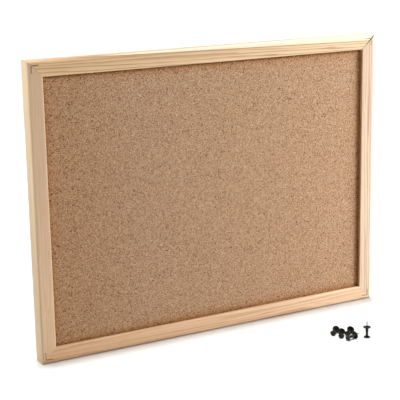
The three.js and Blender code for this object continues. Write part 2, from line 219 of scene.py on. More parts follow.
# Push pins, measured along the axis from the cap
PIN_COUNT = 5
GRIP_LENGTH = 11.5 * MM
CAP_RADIUS = 3.0 * MM
CAP_THICKNESS = 1.0 * MM
CAP_EDGE = 0.3 * MM
CAP_DISH = 0.12 * MM
CAP_DISH_SHARE = 0.6
GATE_RADIUS = 0.7 * MM
GATE_DEPTH = 0.15 * MM
GATE_FOOT_SHARE = 0.8
NECK_LENGTH = 1.2 * MM
SHANK_CAP_RADIUS = 1.3 * MM
SHANK_FLANGE_RADIUS = 1.6 * MM
SHANK_STEP = 1.0 * MM
FLARE_LENGTH = 1.0 * MM
FLANGE_RADIUS = 3.9 * MM
FLANGE_THICKNESS = 1.0 * MM
FLANGE_EDGE = 0.3 * MM
HUB_RADIUS = 1.2 * MM
HUB_HEIGHT = 0.7 * MM
NEEDLE_RADIUS = 0.55 * MM
NEEDLE_PLAY = 0.2 * MM
NEEDLE_SEAT = 6.0 * MM
NEEDLE_REACH = 5.8 * MM
NEEDLE_POINT = 2.2 * MM
NEEDLE_SHOULDER = 0.3 * MM
NEEDLE_TIP_RADIUS = 0.05 * MM
NEEDLE_TIP_LENGTH = 0.2 * MM
NEEDLE_TIP_ROUND = 0.03 * MM
NEEDLE_CURVE_STEPS = 8
PARTING_RIDGE = 0.05 * MM

# Facets, and the radius at which a turned piece closes on its axis
ROUND_STEPS = 6
PIN_SIDES = 64
NEEDLE_SIDES = 24
WIRE_SIDES = 20
SCREW_SIDES = 40
AXIS_RADIUS = 0.05 * MM
SMOOTH_BELOW = math.radians(32)

# Stage: the light that comes from all round, and half the floor's side in metres
WORLD_LIGHT = 0.05
FLOOR_REACH = 30.0

# Photograph's camera: 400 x 400 pixels
PHOTO_PIXELS = 400
PHOTO_FOCAL_PIXELS = 1179.96
SENSOR_WIDTH = 36.0
CAMERA_PLACE = Vector((-0.58419, -1.04639, 0.43053))
CAMERA_RIGHT = Vector((0.8762, -0.4816, -0.0180))
CAMERA_DOWN = Vector((-0.1288, -0.1981, -0.9717))
CAMERA_FORWARD = Vector((0.4644, 0.8537, -0.2356))


# Nodes of the finishes

def srgb(red, green, blue):
    """A colour given as it shows on screen, 0 to 255, as the linear colour that shaders take."""
    channels = [value / 255 for value in (red, green, blue)]
    linear = [c / 12.92 if c <= 0.04045 else ((c + 0.055) / 1.055) ** 2.4 for c in channels]
    return (*linear, 1.0)


def new_surface(name):
    material = bpy.data.materials.new(name)
    material.use_nodes = True
    tree = material.node_tree
    return material, tree, tree.nodes["Principled BSDF"]


def add(tree, kind, inputs=None, **settings):
    """A node of that kind. Each input is a value or another node's output."""
    node = tree.nodes.new(kind)
    for name, value in settings.items():
        setattr(node, name, value)
    for name, value in (inputs or {}).items():
        connect(tree, node.inputs[name], value)
    return node


def connect(tree, socket, value):
    if isinstance(value, bpy.types.NodeSocket):
        tree.links.new(value, socket)
    else:
        socket.default_value = value


def math_node(tree, operation, first, second=0.0):
    node = tree.nodes.new("ShaderNodeMath")
    node.operation = operation
    connect(tree, node.inputs[0], first)
    connect(tree, node.inputs[1], second)
    return node.outputs[0]


def plus(tree, first, second):
    return math_node(tree, "ADD", first, second)


def times(tree, first, second):
    return math_node(tree, "MULTIPLY", first, second)


def mixed(tree, factor, first, second, mode="MIX"):
    """Two colours mixed by factor."""
    node = tree.nodes.new("ShaderNodeMix")
    node.data_type = "RGBA"
    node.blend_type = mode
    connect(tree, node.inputs[0], factor)
    connect(tree, node.inputs[6], first)
    connect(tree, node.inputs[7], second)
    return node.outputs[2]


def ramp(tree, value, stops):
    """A colour or grey from a list of (position, colour) stops."""
    node = tree.nodes.new("ShaderNodeValToRGB")
    elements = node.color_ramp.elements
    while len(elements) < len(stops):
        elements.new(1.0)
    for element, (position, colour) in zip(elements, stops):
        element.position = position
        element.color = colour
    connect(tree, node.inputs[0], value)
    return node.outputs[0]


def grey(level):
    return (level, level, level, 1.0)


def shade(tree, value, *stops):
    """A grey from (position, level) stops."""
    return ramp(tree, value, [(position, grey(level)) for position, level in stops])


def between(tree, value, low, high, from_low=0.0, from_high=1.0):
    """A value from one range brought into another."""
    inputs = {"Value": value, "From Min": from_low, "From Max": from_high}
    inputs.update({"To Min": low, "To Max": high})
    return add(tree, "ShaderNodeMapRange", inputs).outputs[0]


def object_place(tree):
    return add(tree, "ShaderNodeTexCoord").outputs["Object"]


def millimetres(tree, stretch=(1.0, 1.0, 1.0), shift=(0.0, 0.0, 0.0)):
    """Places on the piece in millimetres, each axis scaled by stretch."""
    scale = tuple(MM_PER_METRE * value for value in stretch)
    inputs = {"Vector": object_place(tree), "Location": shift, "Scale": scale}
    return add(tree, "ShaderNodeMapping", inputs).outputs[0]


def cloud(tree, place, scale, detail=2.0, roughness=0.5):
    inputs = {"Vector": place, "Scale": scale, "Detail": detail, "Roughness": roughness}
    return add(tree, "ShaderNodeTexNoise", inputs).outputs["Fac"]


def bumped(tree, height, strength, distance, below=None):
    inputs = {"Height": height, "Strength": strength, "Distance": distance}
    if below is not None:
        inputs["Normal"] = below
    return add(tree, "ShaderNodeBump", inputs).outputs[0]


def attribute(tree, name):
    return add(tree, "ShaderNodeAttribute", attribute_name=name).outputs["Fac"]


def dress(tree, shader, colour, roughness, normal, specular=0.5):
    inputs = {"Base Color": colour, "Roughness": roughness, "Normal": normal}
    inputs["Specular IOR Level"] = specular
    for name, value in inputs.items():
        connect(tree, shader.inputs[name], value)


# Finishes

def pine_surface(name, bar, spacing, strength, lean, slant, seed, tint, far_tint, late, sap):
    """Sealed pine whose grain runs along the bar, and whose tone changes a little from end to end; on
    the left stile that change is painted light, and the uprights' sides that face the cork get painted
    bounce light.
    """
    material, tree, shader = new_surface(name)
    stretch = (1.0, 1.0, GRAIN_STRETCH) if bar.upright else (GRAIN_STRETCH, 1.0, 1.0)
    shift = tuple(seed * value for value in SEED_SHIFT)
    place = millimetres(tree, stretch, shift)
    across = (1.0, lean, slant) if bar.upright else (slant, lean, 1.0)
    crossing = add(tree, "ShaderNodeVectorMath", {0: place, 1: across}, operation="DOT_PRODUCT")
    depth = crossing.outputs["Value"]

    drift = times(tree, cloud(tree, place, 0.16, detail=3.0), 3.2)
    phase = plus(tree, math_node(tree, "DIVIDE", depth, spacing), drift)
    ring = math_node(tree, "FRACT", phase)
    rings = shade(tree, ring, (0.0, 0.05), (0.3, 0.0), (0.6, 0.3), (0.8, 0.9), (0.9, 1.0), (1.0, 0.05))
    patchy = between(tree, cloud(tree, place, 0.11, detail=1.0), 0.35, 1.0, 0.3, 0.7)
    lines = times(tree, times(tree, rings, patchy), strength)
    sap_line = sap + sum(a * b for a, b in zip(across, shift))
    outer = between(tree, depth, 0.0, 1.0, sap_line - 0.2, sap_line + 0.3)
    beside = between(tree, depth, 0.0, 1.0, sap_line - 2.0, sap_line + 0.4)
    rim = shade(tree, beside, (0.3, 0.0), (0.8, 0.8), (1.0, 0.0))

    axes = add(tree, "ShaderNodeSeparateXYZ", {"Vector": object_place(tree)})
    end = axes.outputs["Z" if bar.upright else "X"]
    start, finish = (bar.low.z, bar.high.z) if bar.upright else (bar.low.x, bar.high.x)
    # Tone from end to end: on the left stile the paler lower end is painted light, for the lamps that
    # reach it less
    pale = mixed(tree, between(tree, end, 0.0, 1.0, start, finish), srgb(*tint), srgb(*far_tint))
    duller = mixed(tree, 1.0, pale, grey(0.89), "MULTIPLY")
    pale = mixed(tree, cloud(tree, place, 0.2), pale, duller)
    wood = mixed(tree, lines, pale, srgb(*late))
    wood = mixed(tree, times(tree, outer, 0.8), wood, srgb(*SAP_WOOD))
    wood = mixed(tree, rim, wood, srgb(*late))
    fibre = cloud(tree, place, 2.6, detail=4.0, roughness=0.65)
    wood = mixed(tree, 0.22, wood, shade(tree, fibre, (0.3, 0.35), (0.7, 0.68)), "OVERLAY")
    fleck_place = millimetres(tree, [value * 2.4 for value in stretch], shift)
    fleck = shade(tree, cloud(tree, fleck_place, 0.7, detail=1.0), (0.7, 0.0), (0.76, 0.45))
    wood = mixed(tree, fleck, wood, srgb(*WOOD_FLECK))
    arris = attribute(tree, "arris")
    wood = mixed(tree, times(tree, arris, 0.22), wood, srgb(*RUBBED_ARRIS))
    # Painted warm bounce light from the cork on the uprights' sides that face it
    wood = mixed(tree, attribute(tree, "lip"), wood, srgb(*LIP_PAINTED_BOUNCE), "MULTIPLY")
    wood = mixed(tree, times(tree, attribute(tree, "end_grain"), 0.9), wood, srgb(*END_WOOD))

    dull = plus(tree, between(tree, fibre, 0.5, 0.68), times(tree, lines, -0.08))
    rough = math_node(tree, "SUBTRACT", dull, times(tree, arris, 0.1))
    relief = bumped(tree, lines, 0.35, 0.06 * MM)
    dress(tree, shader, wood, rough, bumped(tree, fibre, 0.3, 0.05 * MM, relief), specular=0.35)
    return material


def cork_surface():
    """Pressed cork: granules of many browns, darker binder between them and a few dark bark specks."""
    material, tree, shader = new_surface("pressed_cork")
    place = millimetres(tree)
    wobble = add(tree, "ShaderNodeTexNoise", {"Vector": place, "Scale": 0.9, "Detail": 2.0})
    push = {0: wobble.outputs["Color"], 1: (0.9, 0.9, 0.9)}
    shaken = add(tree, "ShaderNodeVectorMath", push, operation="MULTIPLY").outputs[0]
    bent = add(tree, "ShaderNodeVectorMath", {0: place, 1: shaken}, operation="ADD").outputs[0]
    coarse = add(tree, "ShaderNodeTexVoronoi", {"Vector": bent, "Scale": 1.2, "Randomness": 1.0})
    fine = add(tree, "ShaderNodeTexVoronoi", {"Vector": bent, "Scale": 1.9, "Randomness": 1.0})
    cells = {"Vector": bent, "Scale": 1.2}
    seams = add(tree, "ShaderNodeTexVoronoi", cells, feature="DISTANCE_TO_EDGE").outputs["Distance"]

    browns = [(position, srgb(*colour)) for position, colour in CORK_BROWNS]
    large = ramp(tree, coarse.outputs["Color"], browns)
    small = ramp(tree, fine.outputs["Color"], browns)
    which = shade(tree, cloud(tree, place, 0.35), (0.42, 0.25), (0.58, 0.75))
    cork = mixed(tree, which, large, small)
    cork = mixed(tree, shade(tree, seams, (0.0, 0.55), (0.16, 0.0)), cork, srgb(*CORK_BINDER))
    grain = cloud(tree, place, 4.5, detail=5.0, roughness=0.7)
    cork = mixed(tree, 0.3, cork, shade(tree, grain, (0.25, 0.3), (0.75, 0.72)), "OVERLAY")
    rim = attribute(tree, "rim")
    speck_place = millimetres(tree, shift=(31.0, 17.0, 5.0))
    speckled = plus(tree, cloud(tree, speck_place, 0.75, detail=1.0), times(tree, rim, 0.06))
    cork = mixed(tree, shade(tree, speckled, (0.655, 0.0), (0.695, 0.9)), cork, srgb(*CORK_SPECK))
    # Browner beside the frame, and painted shade in a broad band at the left
    cork = mixed(tree, rim, cork, srgb(*CORK_RIM_AND_SHADE_TINT), "MULTIPLY")
    # Painted shade on the cork along the frame, most under the top rail, broken up by noise
    patchy = between(tree, cloud(tree, place, 0.5), 0.6, 1.0, 0.35, 0.65)
    cork = mixed(tree, times(tree, attribute(tree, "edge"), patchy), cork, srgb(*CORK_PAINTED_SHADE))
    rough = between(tree, grain, 0.82, 0.97)
    relief = bumped(tree, seams, 0.5, 0.25 * MM)
    dress(tree, shader, cork, rough, bumped(tree, grain, 0.45, 0.2 * MM, relief), specular=0.2)
    return material


def hardboard_surface():
    """Raw hardboard with the print of the drainage screen on it."""
    material, tree, shader = new_surface("hardboard")
    place = millimetres(tree)
    fibres = cloud(tree, place, 0.5, detail=6.0, roughness=0.7)
    tone = mixed(tree, cloud(tree, place, 0.025), srgb(*HARDBOARD), srgb(*HARDBOARD_PATCH))
    tone = mixed(tree, shade(tree, fibres, (0.42, 0.0), (0.66, 0.8)), tone, srgb(*HARDBOARD_PALE_FIBRE))
    tone = mixed(tree, shade(tree, fibres, (0.3, 0.8), (0.42, 0.0)), tone, srgb(*HARDBOARD_DARK_FIBRE))
    pitch = 2 * math.pi / SCREEN_PITCH_MM
    axes = add(tree, "ShaderNodeSeparateXYZ", {"Vector": place})
    weft = math_node(tree, "SINE", times(tree, axes.outputs["X"], pitch))
    warp = math_node(tree, "SINE", times(tree, axes.outputs["Z"], pitch))
    screen = between(tree, times(tree, weft, warp), 0.0, 1.0, -1.0, 1.0)
    tone = mixed(tree, between(tree, screen, 0.0, 0.35), tone, srgb(*HARDBOARD_SCREEN))
    rough = between(tree, fibres, 0.7, 0.92)
    relief = bumped(tree, screen, 0.6, 0.15 * MM)
    dress(tree, shader, tone, rough, bumped(tree, fibres, 0.3, 0.1 * MM, relief), specular=0.3)
    return material


def steel_surface(name):
    """Metal with a mottled finish, faint scratches and a stain that gathers in patches."""
    look = STEELS[name]
    bright = srgb(*look["bright"])
    mottle = look["mottle"]
    material, tree, shader = new_surface(name)
    place = millimetres(tree)
    patches = cloud(tree, place, mottle, detail=4.0, roughness=0.6)
    crystals = add(tree, "ShaderNodeTexVoronoi", {"Vector": place, "Scale": mottle * 2.5})
    tone = mixed(tree, patches, bright, srgb(*look["dark"]))
    tone = mixed(tree, 0.18, tone, crystals.outputs["Color"], "SOFT_LIGHT")
    stained = shade(tree, cloud(tree, place, mottle * 0.6, detail=5.0), (0.52, 0.0), (0.7, 0.55))
    tone = mixed(tree, stained, tone, srgb(*look["stain"]))
    tone = mixed(tree, times(tree, attribute(tree, "worn"), 0.5), tone, bright)
    rough = between(tree, patches, *look["roughness"], 0.3, 0.7)
    scratches = cloud(tree, millimetres(tree, (6.0, 6.0, 0.4)), 1.5, detail=2.0)
    dress(tree, shader, tone, rough, bumped(tree, scratches, 0.15, 0.02 * MM))
    shader.inputs["Metallic"].default_value = 1.0
    return material


def plastic_surface():
    """Black moulded plastic, polished on the grip and a little rubbed."""
    material, tree, shader = new_surface("black_plastic")
    place = millimetres(tree)
    smears = cloud(tree, place, 0.35, detail=4.0, roughness=0.6)
    black = mixed(tree, smears, srgb(*PLASTIC), srgb(*PLASTIC_SMEAR))
    worn = attribute(tree, "worn")
    black = mixed(tree, times(tree, worn, 0.35), black, srgb(*PLASTIC_WORN))
    rough = plus(tree, between(tree, smears, 0.12, 0.26, 0.3, 0.7), times(tree, worn, 0.12))
    ripple = cloud(tree, place, 1.2, detail=2.0)
    dress(tree, shader, black, rough, bumped(tree, ripple, 0.08, 0.03 * MM), specular=0.3)
    return material


# Meshes

def new_object(name, data):
    item = bpy.data.objects.new(name, data)
    bpy.context.scene.collection.objects.link(item)
    return item


def mesh_piece(name, points, faces, material):
    mesh = bpy.data.meshes.new(name)
    mesh.from_pydata([tuple(point) for point in points], [], faces)
    outward = bmesh.new()
    outward.from_mesh(mesh)
    bmesh.ops.recalc_face_normals(outward, faces=outward.faces)
    outward.to_mesh(mesh)
    outward.free()
    smooth(mesh)
    mesh.materials.append(material)
    return new_object(name, mesh)


def smooth(mesh):
    mesh.polygons.foreach_set("use_smooth", [True] * len(mesh.polygons))
    mesh.set_sharp_from_angle(angle=SMOOTH_BELOW)


def loft(rings):
    """Points and faces of a closed skin over rings of equal count, with a flat cap at each end."""
    count = len(rings[0])
    points = [point for ring in rings for point in ring]
    faces = []
    for i in range(len(rings) - 1):
        for j in range(count):
            k = (j + 1) % count
            faces.append((i * count + j, i * count + k, (i + 1) * count + k, (i + 1) * count + j))
    faces.append(tuple(range(count)))
    last = (len(rings) - 1) * count
    faces.append(tuple(range(last + count - 1, last - 1, -1)))
    return points, faces


def turned(profile, sides, ridge=0.0):
    """Points and faces of a profile of (radius, height) turned round Z.

    A ridge runs down two opposite sides.
    """
    rings = []
    for radius, height in profile:
        ring = []
        for i in range(sides):
            angle = 2 * math.pi * i / sides
            reach = radius + (ridge if i % (sides // 2) == 0 else 0.0)
            ring.append(Vector((reach * math.cos(angle), reach * math.sin(angle), height)))
        rings.append(ring)
    return loft(rings)


def arc(centre, radius, start, end, steps):
    """Points of a flat arc from one angle to another, in degrees."""
    angles = np.radians(np.linspace(start, end, steps + 1))
    return [(centre[0] + radius * math.cos(a), centre[1] + radius * math.sin(a)) for a in angles]


def line(start, end, step):
    """Points of a flat line without its ends."""
    count = max(1, round(math.dist(start, end) / step))
    shares = [i / count for i in range(1, count)]
    return [tuple(a + (b - a) * share for a, b in zip(start, end)) for share in shares]


def outline(corners, step):
    """A closed outline from a list of arcs or points, with points along its straight runs."""
    points = []
    for i, run in enumerate(corners):
        following = corners[(i + 1) % len(corners)]
        points += run
        points += line(run[-1], following[0], step)
    return points


def outward_normals(points):
    """Normals of a closed flat outline, pointing away from what it encloses."""
    flat = np.array(points)
    along = np.roll(flat, -1, axis=0) - np.roll(flat, 1, axis=0)
    along /= np.linalg.norm(along, axis=1)[:, None]
    area = np.sum(flat[:, 0] * np.roll(flat[:, 1], -1) - flat[:, 1] * np.roll(flat[:, 0], -1))
    normals = np.stack([along[:, 1], -along[:, 0]], axis=1)
    return normals * np.sign(area)


def directions(path):
    """Unit directions along a flat path."""
    along = np.gradient(path, axis=0)
    return along / np.linalg.norm(along, axis=1)[:, None]


def clamp(value):
    return min(1.0, max(0.0, value))


def cut(piece, tools):
    """Takes the tools' shapes out of the piece."""
    for tool in tools:
        modifier = piece.modifiers.new("cut", "BOOLEAN")
        modifier.operation = "DIFFERENCE"
        modifier.solver = "MANIFOLD"
        modifier.object = tool
    shown = bpy.context.evaluated_depsgraph_get()
    result = bpy.data.meshes.new_from_object(piece.evaluated_get(shown))
    piece.modifiers.clear()
    piece.data = result
    smooth(result)
    for tool in tools:
        bpy.data.objects.remove(tool)


def mark(piece, name, weight):
    """Stores a value from 0 to 1 at each point, for the piece's finish."""
    values = np.array([weight(point.co) for point in piece.data.vertices], np.float32)
    piece.data.attributes.new(name, "FLOAT", "POINT").data.foreach_set("value", values)


def install(piece, node, body):
    """The piece stands for a CAD node, which it hides, moves with its body and is lit by the lamps that
    light only the object.
    """
    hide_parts(node)
    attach(piece, body)
    lit_pieces.objects.link(piece)


# Frame

EDGES = {
    "left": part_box("left_stile")[0].x,
    "right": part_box("right_stile")[1].x,
    "bottom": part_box("bottom_rail")[0].z,
    "top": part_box("top_rail")[1].z,
}
FRAME_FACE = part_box("top_rail")[1].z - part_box("top_rail")[0].z


class Bar:
    """One bar of the frame: where its outer edge lies and which way it runs."""

    def __init__(self, node):
        self.node = node
        self.low, self.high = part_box(node)
        size = self.high - self.low
        self.upright = size.z > size.x
        self.face = min(size.x, size.z)
        self.depth = size.y
        self.length = max(size.x, size.z)
        self.middle = (self.low + self.high) / 2
        self.inward = -1.0 if node in ("top_rail", "right_stile") else 1.0

    def place(self, along, across, back):
        """A point along the bar, across its face from the outer edge, and back from the front."""
        y = self.low.y + back
        if self.upright:
            edge = self.low.x if self.inward > 0 else self.high.x
            return Vector((edge + self.inward * across, y, self.middle.z + along))
        edge = self.low.z if self.inward > 0 else self.high.z
        return Vector((self.middle.x + along, y, edge + self.inward * across))

    def across_and_back(self, point):
        position = point.x if self.upright else point.z
        low = self.low.x if self.upright else self.low.z
        high = self.high.x if self.upright else self.high.z
        across = position - low if self.inward > 0 else high - position
        return across, point.y - self.low.y


def moulding_outline(bar):
    """The bar's section: x across the face from the outer edge, y back from the front."""
    cork_low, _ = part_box("cork_sheet")
    _, backing_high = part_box("backing_board")
    bottom_low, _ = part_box("bottom_rail")
    groove_front = cork_low.y - PANEL_PLAY - bar.low.y
    groove_back = backing_high.y + PANEL_PLAY - bar.low.y
    groove_bottom = cork_low.z - PANEL_EDGE_PLAY - bottom_low.z
    face, depth = bar.face, bar.depth
    return outline(
        [
            arc((OUTER_ROUND, OUTER_ROUND), OUTER_ROUND, 180, 270, ROUND_STEPS),
            arc((face - SIGHT_ROUND, SIGHT_ROUND), SIGHT_ROUND, 270, 360, ROUND_STEPS),
            [(face, groove_front)],
            [(groove_bottom, groove_front)],
            [(groove_bottom, groove_back)],
            [(face, groove_back)],
            arc((face - BACK_ROUND, depth - BACK_ROUND), BACK_ROUND, 0, 90, ROUND_STEPS),
            arc((BACK_ROUND, depth - BACK_ROUND), BACK_ROUND, 90, 180, ROUND_STEPS),
        ],
        FACE_STEP,
    )


def grain_relief(along, across, back, seed):
    """Height of the planed surface: ripples along the grain, and a slight bow."""
    spot = Vector((along / RIPPLE_LENGTH, across / RIPPLE_WIDTH, back / RIPPLE_WIDTH + seed))
    ripple = noise.noise(spot)
    bow = noise.noise(Vector((along / BOW_LENGTH + seed, seed, 0.0)))
    return RIPPLE_HEIGHT * ripple + BOW_HEIGHT * bow


def mitre_reach(bar, end, across):
    """Distance from the bar's middle to its mitre.

    The joint at the top right has opened a little at its outer end.
    """
    reach = bar.length / 2 + MITRE_CLOSE - across
    if end > 0 and bar.node in ("top_rail", "right_stile"):
        reach -= MITRE_OPEN * (1.0 - across / bar.face)
    return reach


def bar_rings(bar, seed):
    section = moulding_outline(bar)
    normals = outward_normals(section)
    stations = round(bar.length / STATION_STEP)
    shares = [-1.0] + list(np.linspace(-1.0, 1.0, stations)) + [1.0]
    rings = []
    for i, share in enumerate(shares):
        at_end = i in (0, len(shares) - 1)
        ring = []
        for (across, back), normal in zip(section, normals):
            if at_end:
                across, back = np.array((across, back)) - MITRE_EASE * normal
                along = share * mitre_reach(bar, share, across)
            else:
                along = share * (mitre_reach(bar, share, across) - MITRE_EASE)
                relief = grain_relief(along, across, back, seed)
                across, back = np.array((across, back)) + relief * normal
            ring.append(bar.place(along, across, back))
        rings.append(ring)
    return rings


def arris_weight(bar):
    """How near a point is to one of the bar's four long edges, from 0 to 1."""
    corners = [(0.0, 0.0), (bar.face, 0.0), (0.0, bar.depth), (bar.face, bar.depth)]

    def weight(point):
        gap = min(math.dist(bar.across_and_back(point), corner) for corner in corners)
        return max(0.0, 1.0 - gap / ARRIS_REACH)

    return weight


def end_weight(bar):
    """How dark the bar's mitred ends are: less at the bottom corners, which are tight. 0 elsewhere."""
    def weight(point):
        across, _ = bar.across_and_back(point)
        along = point.z - bar.middle.z if bar.upright else point.x - bar.middle.x
        gap = mitre_reach(bar, along, across) - abs(along)
        if gap > MITRE_EASE / 2:
            return 0.0
        return 1.0 if point.z > (EDGES["bottom"] + EDGES["top"]) / 2 else TIGHT_MITRE_SHADE

    return weight


def lip_bounce_weight(bar):
    """1 on the side of an upright bar that faces the cork, which gets painted warm bounce light from the
    cork, else 0.
    """
    def weight(point):
        across, back = bar.across_and_back(point)
        on_lip = across > bar.face - LIP_REACH and back > SIGHT_ROUND / 2
        return 1.0 if bar.upright and on_lip else 0.0

    return weight


def nail_line():
    """Centre line of a V-nail in a corner whose two outer edges are the axes."""
    curl_end = 90 - math.degrees(NAIL_CURL_SWEEP)
    tip = arc((NAIL_INSET + NAIL_LEG, NAIL_INSET - NAIL_CURL), NAIL_CURL, curl_end, 90, ROUND_STEPS)
    bend = arc((NAIL_INSET + NAIL_BEND, NAIL_INSET + NAIL_BEND), NAIL_BEND, 270, 180, ROUND_STEPS)
    other = [(b, a) for a, b in reversed(tip)]
    return tip + bend + other


def corner_place(corner, a, b, y):
    """A point given by its distances from a corner's two outer edges."""
    x = EDGES["left"] + a if "left" in corner else EDGES["right"] - a
    z = EDGES["bottom"] + b if "bottom" in corner else EDGES["top"] - b
    return Vector((x, y, z))


def nail_rings(corner, section, extra):
    """A strip along the V-nail's line, longer by extra at both ends.

    Its section is a list of (offset from the line, y).
    """
    path = np.array(nail_line())
    path[0] += extra * (path[0] - path[1]) / np.linalg.norm(path[0] - path[1])
    path[-1] += extra * (path[-1] - path[-2]) / np.linalg.norm(path[-1] - path[-2])
    rings = []
    for (a, b), (da, db) in zip(path, directions(path)):
        ring = [corner_place(corner, a - db * offset, b + da * offset, y) for offset, y in section]
        rings.append(ring)
    return rings


def nail_section(half, top, bottom, edge):
    return [
        (-half + edge, top),
        (half - edge, top),
        (half, top + edge),
        (half, bottom),
        (-half, bottom),
        (-half, top + edge),
    ]


def build_nails(steel):
    for corner in ("bottom_left", "bottom_right", "top_right", "top_left"):
        node = "corner_nail_" + corner
        low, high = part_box(node)
        section = nail_section(NAIL_THICKNESS / 2, low.y, high.y, NAIL_EDGE)
        points, faces = loft(nail_rings(corner, section, 0.0))
        piece = mesh_piece("v_nail_" + corner, points, faces, steel)
        mark(piece, "worn", lambda point: 1.0 if point.y < low.y + 2 * NAIL_EDGE else 0.0)
        install(piece, node, "board")


def nail_slot(corner, surface):
    """The slot that a V-nail has cut for itself, as a shape to take out of the bars."""
    _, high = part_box("corner_nail_" + corner)
    front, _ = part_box("bottom_rail")
    half = NAIL_THICKNESS / 2 + NAIL_PLAY
    section = nail_section(half, front.y - CUT_MARGIN, high.y + NAIL_PLAY, NAIL_EDGE)
    points, faces = loft(nail_rings(corner, section, NAIL_PLAY))
    return mesh_piece("slot", points, faces, surface)


def screw_bore(node, surface, front, back):
    """A round hole along Y for a hanger screw, as a shape to take out."""
    low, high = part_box(node)
    middle = (low + high) / 2
    points, faces = turned([(SCREW_BORE, front), (SCREW_BORE, back)], SCREW_SIDES)
    placed = [Vector((middle.x + p.x, p.z, middle.z - p.y)) for p in points]
    return mesh_piece("bore", placed, faces, surface)


def build_frame():
    ends = {
        "top_rail": ("top_left", "top_right"),
        "bottom_rail": ("bottom_left", "bottom_right"),
        "left_stile": ("top_left", "bottom_left"),
        "right_stile": ("top_right", "bottom_right"),
    }
    for node, grain in PINE_BARS.items():
        bar = Bar(node)
        surface = pine_surface("pine_" + node, bar, **grain)
        points, faces = loft(bar_rings(bar, grain["seed"]))
        piece = mesh_piece("pine_" + node, points, faces, surface)
        tools = [nail_slot(corner, surface) for corner in ends[node]]
        if node == "top_rail":
            for screw in ("hanger_screw_left", "hanger_screw_right"):
                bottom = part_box(screw)[0].y - PANEL_PLAY
                tools.append(screw_bore(screw, surface, bottom, bar.high.y + CUT_MARGIN))
        cut(piece, tools)
        mark(piece, "arris", arris_weight(bar))
        mark(piece, "end_grain", end_weight(bar))
        mark(piece, "lip", lip_bounce_weight(bar))
        install(piece, node, "board")


# Panel

def sheet_mesh(low, high, front, step, relief):
    """A sheet as a closed mesh, with a grid on its front or back that relief(x, z) moves out."""
    columns = max(2, round((high.x - low.x) / step))
    rows = max(2, round((high.z - low.z) / step))
    xs = np.linspace(low.x, high.x, columns + 1)
    zs = np.linspace(low.z, high.z, rows + 1)
    x, z = np.meshgrid(xs, zs)
    out = relief(x, z)
    y = low.y - out if front else high.y + out
    points = np.stack([x, y, z], axis=-1).reshape(-1, 3).tolist()
    wide = columns + 1
    faces = []
    for r in range(rows):
        for c in range(columns):
            i = r * wide + c
            faces.append((i, i + 1, i + wide + 1, i + wide))
    rim = list(range(columns))
    rim += [r * wide + columns for r in range(rows)]
    rim += [rows * wide + c for c in range(columns, 0, -1)]
    rim += [r * wide for r in range(rows, 0, -1)]
    far = high.y if front else low.y
    first = len(points)
    points += [[points[i][0], far, points[i][2]] for i in rim]
    count = len(rim)
    for i in range(count):
        k = (i + 1) % count
        faces.append((rim[i], first + i, first + k, rim[k]))
    faces.append(tuple(range(first, first + count)))
    return points, faces


def edge_gap(low, high, x, z):
    """Distance to the nearest edge of a sheet."""
    return np.minimum.reduce([x - low.x, high.x - x, z - low.z, high.z - z])


def granule_relief(low, high):
    """Heights of pressed granules: each has its own level, with a dip along its seams."""
    rng = np.random.default_rng(GRANULE_SEED)
    columns = int((high.x - low.x) / GRANULE) + GRANULE_SPARE
    rows = int((high.z - low.z) / GRANULE) + GRANULE_SPARE
    jitter = rng.uniform(0.0, 1.0, (rows, columns, 2))
    level = rng.uniform(*GRANULE_LEVELS, (rows, columns))

    def relief(x, z):
        u = (x - low.x) / GRANULE + 1
        v = (z - low.z) / GRANULE + 1
        near = np.full(x.shape, np.inf)
        second = np.full(x.shape, np.inf)
        height = np.zeros(x.shape)
        for dr in (-1, 0, 1):
            for dc in (-1, 0, 1):
                c = np.clip(u.astype(int) + dc, 0, columns - 1)
                r = np.clip(v.astype(int) + dr, 0, rows - 1)
                gap = np.hypot(c + jitter[r, c, 0] - u, r + jitter[r, c, 1] - v)
                closer = gap < near
                second = np.where(closer, near, np.minimum(second, gap))
                height = np.where(closer, level[r, c], height)
                near = np.where(closer, gap, near)
        seam = np.clip(1.0 - (second - near) / GRANULE_SEAM_SHARE, 0.0, 1.0)
        inside = np.clip(edge_gap(low, high, x, z) / CORK_MARGIN, 0.0, 1.0)
        return inside * (GRANULE_HEIGHT * height - GRANULE_SEAM * seam)

    return relief


def backing_relief(low, high):
    """A slight wave over the hardboard, which thins towards its crushed edges."""
    def relief(x, z):
        waves = np.zeros(x.shape)
        for index in np.ndindex(x.shape):
            spot = Vector((x[index] / BACKING_WAVELENGTH, z[index] / BACKING_WAVELENGTH, BACKING_SEED))
            waves[index] = noise.noise(spot)
        crushed = np.clip(1.0 - edge_gap(low, high, x, z) / BACKING_STEP, 0.0, 1.0)
        return BACKING_WAVE * waves - BACKING_EDGE * crushed

    return relief


def painted_shade_weight(point):
    """How much painted shade lies on the cork beside the frame: most under the top rail, less along the
    sides and the bottom.
    """
    sides = min(point.x - EDGES["left"], EDGES["right"] - point.x, point.z - EDGES["bottom"])
    near_side = 1.0 - (sides - FRAME_FACE) / CORK_SHADE_REACH
    near_top = 1.0 - (EDGES["top"] - point.z - FRAME_FACE) / CORK_SHADE_REACH
    return clamp(max(CORK_SIDE_SHADE * near_side, near_top))


def rim_tint_and_painted_shade(point):
    """How brown the cork is: most beside the frame, and a little in a broad band at the left, which is
    painted shade where the light falls weaker.
    """
    left = point.x - EDGES["left"] - FRAME_FACE
    sides = min(left, EDGES["right"] - point.x - FRAME_FACE)
    ends = min(point.z - EDGES["bottom"], EDGES["top"] - point.z) - FRAME_FACE
    beside = clamp(1.0 - min(sides, ends) / CORK_RIM_REACH) ** CORK_RIM_FALL
    broad = clamp(1.0 - left / CORK_LEFT_SHADE_REACH)
    return max(beside, CORK_LEFT_PAINTED_SHADE * broad)


